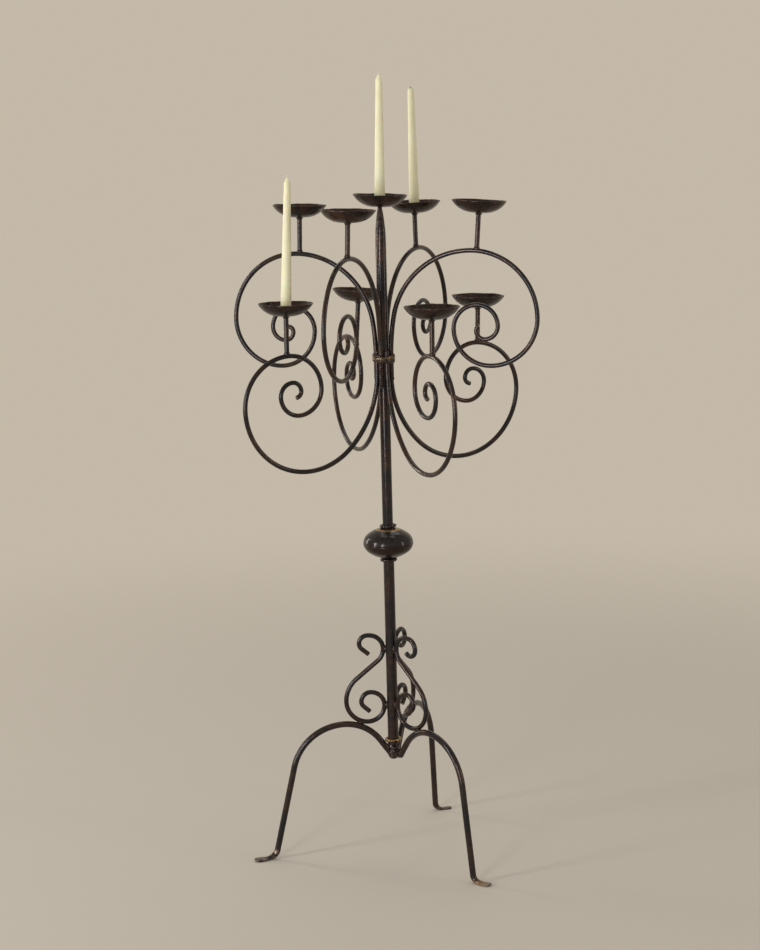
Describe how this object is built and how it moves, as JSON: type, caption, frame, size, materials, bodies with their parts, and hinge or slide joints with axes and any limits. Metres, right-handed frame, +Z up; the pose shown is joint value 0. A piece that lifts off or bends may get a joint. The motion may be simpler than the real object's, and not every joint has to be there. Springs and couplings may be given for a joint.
{
  "type": "torchere candle stand",
  "caption": "Tall forged iron candle stand: tripod foot, round shaft with a flattened knop, spiral arms bound by a collar, dished drip pans on stems, and tapers that lift off their spikes.",
  "frame": {"origin": "on the floor under the middle of the stand, 0 to 6 mm from the shaft's own axis", "axes": "+Z up along the shaft, -Y towards the front, +X to the right as seen from the front"},
  "size_m": [0.6179, 0.6061, 1.6147],
  "materials": {
    "black_iron": "black forge scale, waxed to a satin shine",
    "brown_iron": "brown worn forge scale, satin",
    "pan_iron": "hammered sheet, brown-black, worn bright along the rim",
    "wax": "ivory wax, soft sheen",
    "wick": "waxed cotton braid",
    "burnt_wick": "charred cotton"
  },
  "bodies": {
    "stand": {"shaft": "black_iron", "knop_upper": "black_iron", "knop_lower": "black_iron", "knop_ring_upper": "black_iron", "knop_ring_lower": "black_iron", "foot_ring": "black_iron", "hub_weld": "black_iron", "leg_left": "black_iron", "leg_right": "black_iron", "leg_back": "black_iron", "scroll_left": "black_iron", "scroll_right": "black_iron", "scroll_back": "black_iron", "arm_collar": "black_iron", "upper_arm_right": "black_iron", "upper_arm_back": "black_iron", "upper_arm_left": "black_iron", "upper_arm_front": "brown_iron", "lower_arm_right": "black_iron", "lower_arm_back": "black_iron", "lower_arm_left": "black_iron", "lower_arm_front": "brown_iron", "upper_stem_right": "black_iron", "upper_stem_back": "black_iron", "upper_stem_left": "black_iron", "upper_stem_front": "black_iron", "lower_stem_right": "black_iron", "lower_stem_back": "black_iron", "lower_stem_left": "black_iron", "lower_stem_front": "black_iron", "top_pan": "pan_iron", "upper_pan_right": "pan_iron", "upper_pan_back": "pan_iron", "upper_pan_left": "pan_iron", "upper_pan_front": "pan_iron", "lower_pan_right": "pan_iron", "lower_pan_back": "pan_iron", "lower_pan_left": "pan_iron", "lower_pan_front": "pan_iron", "top_spike": "pan_iron", "upper_spike_right": "pan_iron", "upper_spike_back": "pan_iron", "upper_spike_left": "pan_iron", "upper_spike_front": "pan_iron", "lower_spike_right": "pan_iron", "lower_spike_back": "pan_iron", "lower_spike_left": "pan_iron", "lower_spike_front": "pan_iron"},
    "top_taper": {"top_candle": "wax", "top_wick": "wick"},
    "back_taper": {"back_candle": "wax", "back_wick": "burnt_wick"},
    "left_taper": {"left_candle": "wax", "left_wick": "wick"}
  },
  "joints": [
    {"name": "top_candle_lift", "type": "slide", "parent": "stand", "child": "top_taper", "axis": [0.0175, 0, 0.9998], "range_m": [0, 0.06]},
    {"name": "back_candle_lift", "type": "slide", "parent": "stand", "child": "back_taper", "axis": [-0.0087, 0, 1], "range_m": [0, 0.06]},
    {"name": "left_candle_lift", "type": "slide", "parent": "stand", "child": "left_taper", "axis": [0.0436, 0, 0.999], "range_m": [0, 0.06]}
  ]
}
